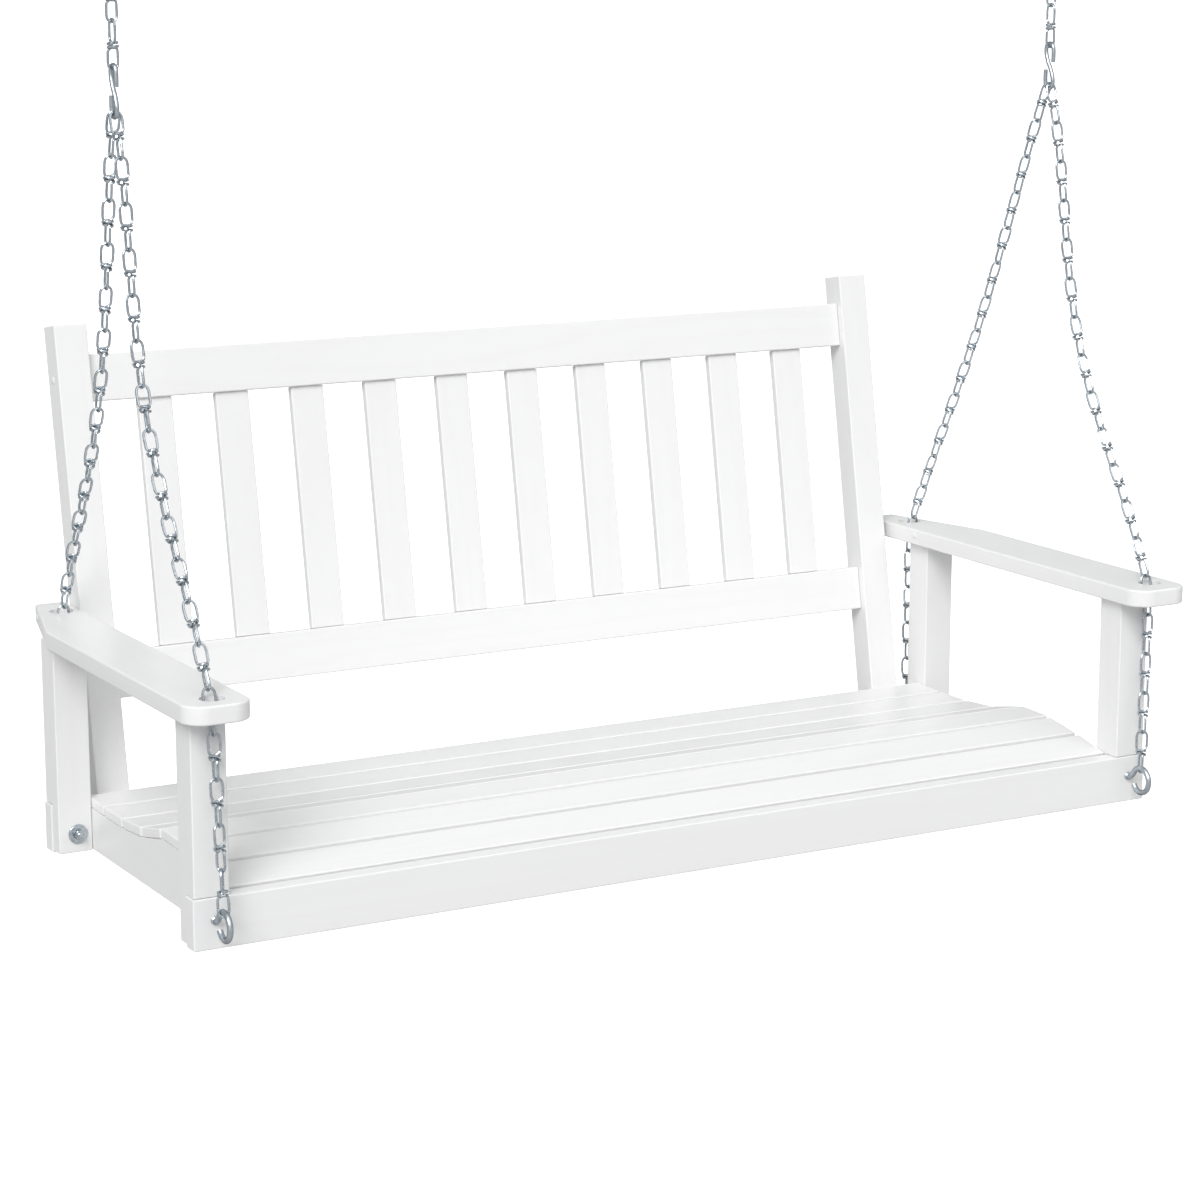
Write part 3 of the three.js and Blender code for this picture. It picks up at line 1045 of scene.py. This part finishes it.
def add_plate(bm, centre):
    """A flat plate with rounded corners and eased edges, its top on the ceiling."""
    length, depth, thick = (v * MM for v in PLATE)
    shell = bmesh.new()
    bmesh.ops.create_cube(shell, size=1.0)
    bmesh.ops.scale(shell, vec=(length, depth, thick), verts=shell.verts)
    bmesh.ops.translate(shell, vec=centre - UP * thick / 2, verts=shell.verts)
    upright = [e for e in shell.edges if abs((e.verts[0].co - e.verts[1].co).z) > thick / 2]
    round_edges(shell, upright, PLATE_CORNER * MM, 6)
    rims = [e for e in shell.edges if e.calc_face_angle_signed(0.0) > ROUNDED]
    round_edges(shell, rims, PLATE_EASE * MM, 2)
    join_shell(bm, shell)


def add_screw_head(bm, centre):
    """A pan-head screw with a recess, seen from below."""
    add_turned(bm, [(r * MM, h * MM) for r, h in SCREW_PROFILE], centre, UP, steps=20)


class PORCH_OT_ceiling_fittings(bpy.types.Operator):
    """Make the ceiling plates with their eyes and screws, and the links that hang in them"""

    bl_idname = "porch.ceiling_fittings"
    bl_label = "Ceiling Fittings"

    def execute(self, context):
        material = zinc_plate(context.scene.porch_chains)
        length, depth, thick = PLATE
        for side, sign in SIDES:
            centre = Vector((sign * CHAIN_X * MM, 0, 0))
            bm = bmesh.new()
            add_plate(bm, centre)
            for dx in (-1, 1):
                for dy in (-1, 1):
                    place = Vector((dx * (length / 2 - SCREW_INSET), dy * (depth / 2 - SCREW_INSET), -thick))
                    add_screw_head(bm, centre + place * MM)
            bottom = centre + Vector((0, 0, -(thick + EYE_DROP - EYE_RADIUS))) * MM
            legs = [centre + Vector((0, s * EYE_RADIUS, -thick * 0.6)) * MM for s in (-1, 1)]
            points = [legs[0], *arc(bottom, EYE_RADIUS * MM, 0, -180, 9), legs[1]]
            add_wire(bm, points, EYE_WIRE * MM, steps=5, fineness=5)
            node = f"ceiling_plate_{side}"
            finished_piece(bm, f"{node}_welded", "ceiling_hangers", material, [node])
            self.top_link(side, material)
        return {"FINISHED"}

    def top_link(self, side, material):
        """An oval link of thick wire between the eye and the upper chain."""
        node = f"top_link_{side}"
        low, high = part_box(node)
        middle = (low + high) / 2
        wire = TOP_LINK_RADIUS * MM
        half_width = (high.x - low.x) / 2 - wire
        half_height = (high.z - low.z) / 2 - wire
        straight = half_height - half_width
        oval = []
        for lift, first in ((straight, 0), (-straight, 180)):
            for step in range(5):
                turn = math.radians(first + step * 45)
                across = Vector((math.cos(turn), 0, math.sin(turn))) * half_width
                oval.append(middle + across + UP * lift)
        bm = bmesh.new()
        add_wire(bm, oval, wire, cyclic=True, steps=5, fineness=5)
        finished_piece(bm, f"{node}_bent", "top_links", material, [node])


# ---------------------------------------------------------------- stage

EYE_POINT = (-1.7821, -3.1413, -0.0954)
EYE_TURN = (78.17, 0.0, -29.25)
LENS = 98.04
SENSOR = 36.0
FLOOR_RADIUS = 60.0


def add_light(name, towards, strength, spread):
    """A distant light that shines in one direction, softened by its spread in degrees."""
    data = bpy.data.lights.new(name, "SUN")
    data.energy = strength
    data.angle = math.radians(spread)
    lamp = bpy.data.objects.new(name, data)
    lamp.rotation_euler = Vector(towards).to_track_quat("-Z", "Y").to_euler()
    bpy.context.scene.collection.objects.link(lamp)


def pale_floor(settings):
    """Smooth matt floor that is plain white to look at and grey to the light that falls on it."""
    material, tree, shader = new_material("pale_floor")
    place = add_node(tree, "ShaderNodeTexCoord")
    mottle = use_group(
        tree,
        shared_group("Surface Mottle", mottle_group),
        [("Vector", place.outputs["Object"]), ("Scale", 1.5), ("Low", 0.7), ("High", 0.8)],
    )
    colour = tuple(settings.floor)
    shaded = tuple(c * 0.99 for c in colour)
    tree.links.new(blend_colours(tree, mottle.outputs["Value"], colour, shaded), shader.inputs["Base Color"])
    tree.links.new(mottle.outputs["Value"], shader.inputs["Roughness"])
    shader.inputs["Emission Color"].default_value = (1, 1, 1, 1)
    path = add_node(tree, "ShaderNodeLightPath")
    tree.links.new(path.outputs["Is Camera Ray"], shader.inputs["Emission Strength"])
    return material


class PORCH_OT_stage(bpy.types.Operator):
    """Lay the floor and set the lights and the camera"""

    bl_idname = "porch.stage"
    bl_label = "Stage"

    def execute(self, context):
        settings = context.scene.porch_stage
        scene = context.scene
        bm = bmesh.new()
        bmesh.ops.create_circle(bm, cap_ends=True, segments=96, radius=FLOOR_RADIUS)
        bmesh.ops.translate(bm, vec=(0, 0, -settings.drop), verts=bm.verts)
        mesh = bpy.data.meshes.new("floor")
        bm.to_mesh(mesh)
        bm.free()
        mesh.materials.append(pale_floor(settings))
        floor = bpy.data.objects.new("floor", mesh)
        scene.collection.objects.link(floor)

        world = bpy.data.worlds.new("studio")
        world.use_nodes = True
        tree = world.node_tree
        even = tree.nodes["Background"]
        even.inputs["Color"].default_value = (0.97, 0.985, 1.0, 1.0)
        even.inputs["Strength"].default_value = settings.sky
        seen = add_node(tree, "ShaderNodeBackground", [("Color", (1, 1, 1, 1)), ("Strength", 1.3)])
        path = add_node(tree, "ShaderNodeLightPath")
        pick = add_node(tree, "ShaderNodeMixShader")
        tree.links.new(path.outputs["Is Camera Ray"], pick.inputs[0])
        tree.links.new(even.outputs[0], pick.inputs[1])
        tree.links.new(seen.outputs[0], pick.inputs[2])
        tree.links.new(pick.outputs[0], tree.nodes["World Output"].inputs["Surface"])
        scene.world = world

        add_light("key", (1.0, 0.95, -1.1), settings.key, 30.0)
        add_light("fill", (0.1, 0.8, -1.0), settings.fill, 80.0)

        data = bpy.data.cameras.new("camera")
        data.sensor_width = SENSOR
        data.lens = LENS
        camera = bpy.data.objects.new("camera", data)
        camera.location = EYE_POINT
        camera.rotation_euler = [math.radians(v) for v in EYE_TURN]
        scene.collection.objects.link(camera)
        scene.camera = camera
        scene.view_settings.view_transform = "Standard"
        return {"FINISHED"}


# ---------------------------------------------------------------- panel and main


class PORCH_PT_panel(bpy.types.Panel):
    """Lists the swing's pieces"""

    bl_idname = "PORCH_PT_panel"
    bl_label = "Porch Swing"
    bl_space_type = "VIEW_3D"
    bl_region_type = "UI"
    bl_category = "Porch Swing"

    def draw(self, context):
        for operator in OPERATORS:
            self.layout.operator(operator.bl_idname)
        for settings in (context.scene.porch_boards, context.scene.porch_chains, context.scene.porch_stage):
            box = self.layout.box()
            for name in settings.bl_rna.properties.keys():
                if name not in ("rna_type", "name"):
                    box.prop(settings, name)


OPERATORS = (
    PORCH_OT_stage,
    PORCH_OT_boards,
    PORCH_OT_caps,
    PORCH_OT_hook_bolts,
    PORCH_OT_washers_and_nuts,
    PORCH_OT_chains,
    PORCH_OT_s_hooks,
    PORCH_OT_ceiling_fittings,
)
SETTINGS = {
    "porch_boards": BoardSettings,
    "porch_chains": ChainSettings,
    "porch_stage": StageSettings,
}


def register():
    for name, settings in SETTINGS.items():
        bpy.utils.register_class(settings)
        setattr(bpy.types.Scene, name, PointerProperty(type=settings))
    for operator in OPERATORS:
        bpy.utils.register_class(operator)
    bpy.utils.register_class(PORCH_PT_panel)


def unregister():
    bpy.utils.unregister_class(PORCH_PT_panel)
    for operator in reversed(OPERATORS):
        bpy.utils.unregister_class(operator)
    for name, settings in SETTINGS.items():
        delattr(bpy.types.Scene, name)
        bpy.utils.unregister_class(settings)


def main():
    register()
    bpy.ops.porch.stage()
    bpy.ops.porch.boards()
    bpy.ops.porch.caps()
    bpy.ops.porch.hook_bolts()
    bpy.ops.porch.washers_and_nuts()
    bpy.ops.porch.chains()
    bpy.ops.porch.s_hooks()
    bpy.ops.porch.ceiling_fittings()


if __name__ == "__main__":
    main()
